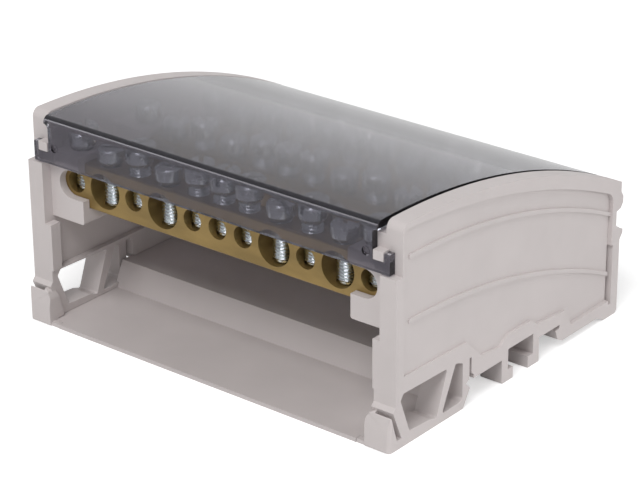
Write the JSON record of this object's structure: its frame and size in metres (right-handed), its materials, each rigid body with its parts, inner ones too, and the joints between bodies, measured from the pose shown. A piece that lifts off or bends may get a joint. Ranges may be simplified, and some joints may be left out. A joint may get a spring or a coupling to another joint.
{
  "type": "power distribution block",
  "caption": "Rail-mounted distribution block: drilled brass bars with terminal screws between moulded end plates, over a folded base sheet and under a hinged smoked cover",
  "frame": {"origin": "middle of the footprint, on the plane of the feet", "axes": "X along the rail to the right end plate, Y from the hook side to the hinge side, Z away from the rail"},
  "size_m": [0.1072, 0.0898, 0.0521],
  "materials": {
    "grey_plastic": "moulded, fine satin",
    "sheet_plastic": "smooth folded sheet",
    "brass": "machined",
    "zinc_steel": "bright zinc plated",
    "smoked_plastic": "polished, translucent smoke grey"
  },
  "bodies": {
    "housing": {"left_end_plate": "grey_plastic", "right_end_plate": "grey_plastic", "base_sheet": "sheet_plastic", "brass_bar_1": "brass", "brass_bar_2": "brass", "brass_bar_3": "brass", "brass_bar_4": "brass", "small_screws_1": "zinc_steel", "large_screws_1": "zinc_steel", "small_screws_2": "zinc_steel", "large_screws_2": "zinc_steel", "small_screws_3": "zinc_steel", "large_screws_3": "zinc_steel", "small_screws_4": "zinc_steel", "large_screws_4": "zinc_steel"},
    "cover_lid": {"cover": "smoked_plastic"}
  },
  "joints": [
    {"name": "cover_hinge", "type": "hinge", "parent": "housing", "child": "cover_lid", "pos_m": [0, 0.04342, 0.02484], "axis": [-1, 0, 0], "range_deg": [0, 105]}
  ]
}
